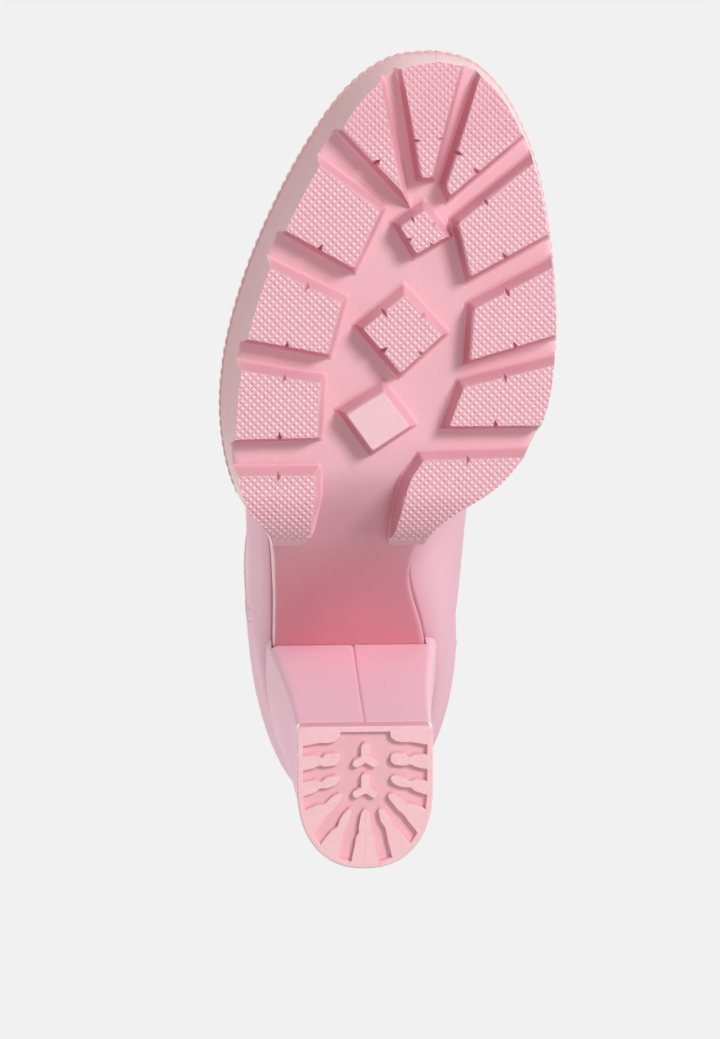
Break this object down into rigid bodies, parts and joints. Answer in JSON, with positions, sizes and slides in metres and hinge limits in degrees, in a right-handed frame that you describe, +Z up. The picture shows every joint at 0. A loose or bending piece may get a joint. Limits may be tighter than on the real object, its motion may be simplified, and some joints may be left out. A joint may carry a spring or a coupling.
{
  "type": "heeled ankle boot",
  "caption": "Pink platform ankle boot for the right foot, with a lugged sole, ribbed welt, wrapped block heel, treaded heel tip, lined shaft and an inner side zip whose slider and puller move.",
  "frame": {"origin": "on the ground under the middle of the boot's bounding box", "axes": "+Z up, toe towards -Y, heel towards +Y, inner (medial) side of the foot towards +X"},
  "size_m": [0.0972, 0.2438, 0.2237],
  "materials": {
    "sole_rubber": "matte moulded",
    "welt_rubber": "matte moulded ribs",
    "filler": "moulded foam",
    "steel": "plain",
    "board": "pressed fibre",
    "sock": "soft padded",
    "heel_core": "moulded",
    "heel_wrap": "smooth coated",
    "tip_rubber": "semi-gloss moulded",
    "upper_leather": "smooth coated",
    "stiffener": "thermoplastic sheet",
    "lining": "fine woven",
    "binding": "smooth coated",
    "zip_tape": "woven tape",
    "zip_plastic": "moulded",
    "zip_metal": "polished"
  },
  "bodies": {
    "boot": {"lug_outsole": "sole_rubber", "ribbed_welt": "welt_rubber", "platform_filler": "filler", "steel_shank": "steel", "insole_board": "board", "sock_liner": "sock", "heel_block": "heel_core", "heel_cover": "heel_wrap", "heel_top_piece": "tip_rubber", "top_piece_pins": "steel", "heel_screw": "steel", "heel_nails": "steel", "vamp": "upper_leather", "lateral_quarter": "upper_leather", "medial_quarter": "upper_leather", "toe_puff": "stiffener", "heel_counter": "stiffener", "vamp_lining": "lining", "lateral_lining": "lining", "medial_lining": "lining", "topline_binding": "binding", "zip_tapes": "zip_tape", "zip_teeth": "zip_plastic", "zip_top_stops": "zip_metal", "zip_bottom_stop": "zip_metal", "zip_guard": "lining"},
    "slider": {"zip_slider": "zip_metal"},
    "puller": {"zip_puller": "zip_metal"}
  },
  "joints": [
    {"name": "zip_slide", "type": "slide", "parent": "boot", "child": "slider", "axis": [0, 0, -1], "range_m": [0, 0.067]},
    {"name": "puller_hinge", "type": "hinge", "parent": "slider", "child": "puller", "pos_m": [0.03116, 0.064, 0.20871], "axis": [0, -1, 0], "range_deg": [0, 150]}
  ]
}
